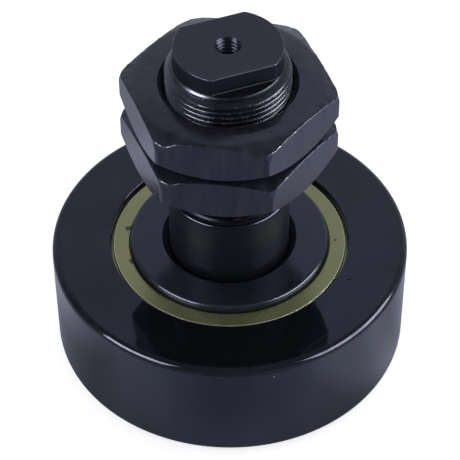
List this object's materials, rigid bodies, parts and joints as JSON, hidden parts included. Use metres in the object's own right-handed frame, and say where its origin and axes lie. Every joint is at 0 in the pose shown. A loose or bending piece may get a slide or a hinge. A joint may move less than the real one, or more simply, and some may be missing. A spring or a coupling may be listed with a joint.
{
  "type": "cam follower",
  "caption": "Stud-type cam follower: a wide steel roller on caged needle rollers, sealed by yellow shields, with a threaded stud and thin lock nuts.",
  "frame": {"origin": "centre of the underside of the stud's head, at the middle of the bounding box's bottom face", "axes": "+Z along the stud, from the head through the roller to the threaded end; X and Y are free apart from the spanner flats, one of which faces -69.8 degrees from +X"},
  "size_m": [0.09, 0.09, 0.0945],
  "materials": {
    "black_steel": "satin black oxide on turned steel",
    "black_gloss_steel": "high-gloss black over ground steel, faint blue tint",
    "black_nut": "satin black, worn bright along the edges",
    "yellow_zinc": "olive-yellow passivated zinc on pressed steel",
    "thrust_ring": "matt black sealing ring",
    "bearing_steel": "ground bright bearing steel",
    "cage_steel": "plain pressed steel"
  },
  "bodies": {
    "stud": {"stud": "black_steel", "side_plate": "black_steel"},
    "roller": {"outer_ring": "black_gloss_steel", "shield_stud_side": "yellow_zinc", "shield_head_side": "yellow_zinc", "thrust_ring_stud_side": "thrust_ring", "thrust_ring_head_side": "thrust_ring"},
    "cage": {"cage": "cage_steel"},
    "lower_nut": {"lower_nut": "black_nut"},
    "upper_nut": {"upper_nut": "black_nut"},
    "needle_roller_01": {"needle_roller_01": "bearing_steel"},
    "needle_roller_02": {"needle_roller_02": "bearing_steel"},
    "needle_roller_03": {"needle_roller_03": "bearing_steel"},
    "needle_roller_04": {"needle_roller_04": "bearing_steel"},
    "needle_roller_05": {"needle_roller_05": "bearing_steel"},
    "needle_roller_06": {"needle_roller_06": "bearing_steel"},
    "needle_roller_07": {"needle_roller_07": "bearing_steel"},
    "needle_roller_08": {"needle_roller_08": "bearing_steel"},
    "needle_roller_09": {"needle_roller_09": "bearing_steel"},
    "needle_roller_10": {"needle_roller_10": "bearing_steel"},
    "needle_roller_11": {"needle_roller_11": "bearing_steel"},
    "needle_roller_12": {"needle_roller_12": "bearing_steel"},
    "needle_roller_13": {"needle_roller_13": "bearing_steel"},
    "needle_roller_14": {"needle_roller_14": "bearing_steel"},
    "needle_roller_15": {"needle_roller_15": "bearing_steel"},
    "needle_roller_16": {"needle_roller_16": "bearing_steel"},
    "needle_roller_17": {"needle_roller_17": "bearing_steel"},
    "needle_roller_18": {"needle_roller_18": "bearing_steel"},
    "needle_roller_19": {"needle_roller_19": "bearing_steel"},
    "needle_roller_20": {"needle_roller_20": "bearing_steel"}
  },
  "joints": [
    {"name": "roller_spin", "type": "hinge", "parent": "stud", "child": "roller", "pos_m": [0, 0, 0.016], "axis": [0, 0, 1], "continuous": true},
    {"name": "cage_orbit", "type": "hinge", "parent": "stud", "child": "cage", "pos_m": [0, 0, 0.016], "axis": [0, 0, 1], "continuous": true},
    {"name": "lower_nut_travel", "type": "slide", "parent": "stud", "child": "lower_nut", "axis": [0, 0, 1], "range_m": [-0.0095, 0.006]},
    {"name": "upper_nut_travel", "type": "slide", "parent": "lower_nut", "child": "upper_nut", "axis": [0, 0, 1], "range_m": [0, 0.01]},
    {"name": "needle_spin_01", "type": "hinge", "parent": "cage", "child": "needle_roller_01", "pos_m": [0.0242, 0.00383, 0.016], "axis": [0, 0, 1], "continuous": true},
    {"name": "needle_spin_02", "type": "hinge", "parent": "cage", "child": "needle_roller_02", "pos_m": [0.02183, 0.01112, 0.016], "axis": [0, 0, 1], "continuous": true},
    {"name": "needle_spin_03", "type": "hinge", "parent": "cage", "child": "needle_roller_03", "pos_m": [0.01732, 0.01732, 0.016], "axis": [0, 0, 1], "continuous": true},
    {"name": "needle_spin_04", "type": "hinge", "parent": "cage", "child": "needle_roller_04", "pos_m": [0.01112, 0.02183, 0.016], "axis": [0, 0, 1], "continuous": true},
    {"name": "needle_spin_05", "type": "hinge", "parent": "cage", "child": "needle_roller_05", "pos_m": [0.00383, 0.0242, 0.016], "axis": [0, 0, 1], "continuous": true},
    {"name": "needle_spin_06", "type": "hinge", "parent": "cage", "child": "needle_roller_06", "pos_m": [-0.00383, 0.0242, 0.016], "axis": [0, 0, 1], "continuous": true},
    {"name": "needle_spin_07", "type": "hinge", "parent": "cage", "child": "needle_roller_07", "pos_m": [-0.01112, 0.02183, 0.016], "axis": [0, 0, 1], "continuous": true},
    {"name": "needle_spin_08", "type": "hinge", "parent": "cage", "child": "needle_roller_08", "pos_m": [-0.01732, 0.01732, 0.016], "axis": [0, 0, 1], "continuous": true},
    {"name": "needle_spin_09", "type": "hinge", "parent": "cage", "child": "needle_roller_09", "pos_m": [-0.02183, 0.01112, 0.016], "axis": [0, 0, 1], "continuous": true},
    {"name": "needle_spin_10", "type": "hinge", "parent": "cage", "child": "needle_roller_10", "pos_m": [-0.0242, 0.00383, 0.016], "axis": [0, 0, 1], "continuous": true},
    {"name": "needle_spin_11", "type": "hinge", "parent": "cage", "child": "needle_roller_11", "pos_m": [-0.0242, -0.00383, 0.016], "axis": [0, 0, 1], "continuous": true},
    {"name": "needle_spin_12", "type": "hinge", "parent": "cage", "child": "needle_roller_12", "pos_m": [-0.02183, -0.01112, 0.016], "axis": [0, 0, 1], "continuous": true},
    {"name": "needle_spin_13", "type": "hinge", "parent": "cage", "child": "needle_roller_13", "pos_m": [-0.01732, -0.01732, 0.016], "axis": [0, 0, 1], "continuous": true},
    {"name": "needle_spin_14", "type": "hinge", "parent": "cage", "child": "needle_roller_14", "pos_m": [-0.01112, -0.02183, 0.016], "axis": [0, 0, 1], "continuous": true},
    {"name": "needle_spin_15", "type": "hinge", "parent": "cage", "child": "needle_roller_15", "pos_m": [-0.00383, -0.0242, 0.016], "axis": [0, 0, 1], "continuous": true},
    {"name": "needle_spin_16", "type": "hinge", "parent": "cage", "child": "needle_roller_16", "pos_m": [0.00383, -0.0242, 0.016], "axis": [0, 0, 1], "continuous": true},
    {"name": "needle_spin_17", "type": "hinge", "parent": "cage", "child": "needle_roller_17", "pos_m": [0.01112, -0.02183, 0.016], "axis": [0, 0, 1], "continuous": true},
    {"name": "needle_spin_18", "type": "hinge", "parent": "cage", "child": "needle_roller_18", "pos_m": [0.01732, -0.01732, 0.016], "axis": [0, 0, 1], "continuous": true},
    {"name": "needle_spin_19", "type": "hinge", "parent": "cage", "child": "needle_roller_19", "pos_m": [0.02183, -0.01112, 0.016], "axis": [0, 0, 1], "continuous": true},
    {"name": "needle_spin_20", "type": "hinge", "parent": "cage", "child": "needle_roller_20", "pos_m": [0.0242, -0.00383, 0.016], "axis": [0, 0, 1], "continuous": true}
  ],
  "couplings": [
    {"joint": "cage_orbit", "follows": "roller_spin", "ratio": 0.56122},
    {"joint": "needle_spin_01", "follows": "roller_spin", "ratio": 4.0221},
    {"joint": "needle_spin_02", "follows": "roller_spin", "ratio": 4.0221},
    {"joint": "needle_spin_03", "follows": "roller_spin", "ratio": 4.0221},
    {"joint": "needle_spin_04", "follows": "roller_spin", "ratio": 4.0221},
    {"joint": "needle_spin_05", "follows": "roller_spin", "ratio": 4.0221},
    {"joint": "needle_spin_06", "follows": "roller_spin", "ratio": 4.0221},
    {"joint": "needle_spin_07", "follows": "roller_spin", "ratio": 4.0221},
    {"joint": "needle_spin_08", "follows": "roller_spin", "ratio": 4.0221},
    {"joint": "needle_spin_09", "follows": "roller_spin", "ratio": 4.0221},
    {"joint": "needle_spin_10", "follows": "roller_spin", "ratio": 4.0221},
    {"joint": "needle_spin_11", "follows": "roller_spin", "ratio": 4.0221},
    {"joint": "needle_spin_12", "follows": "roller_spin", "ratio": 4.0221},
    {"joint": "needle_spin_13", "follows": "roller_spin", "ratio": 4.0221},
    {"joint": "needle_spin_14", "follows": "roller_spin", "ratio": 4.0221},
    {"joint": "needle_spin_15", "follows": "roller_spin", "ratio": 4.0221},
    {"joint": "needle_spin_16", "follows": "roller_spin", "ratio": 4.0221},
    {"joint": "needle_spin_17", "follows": "roller_spin", "ratio": 4.0221},
    {"joint": "needle_spin_18", "follows": "roller_spin", "ratio": 4.0221},
    {"joint": "needle_spin_19", "follows": "roller_spin", "ratio": 4.0221},
    {"joint": "needle_spin_20", "follows": "roller_spin", "ratio": 4.0221}
  ]
}
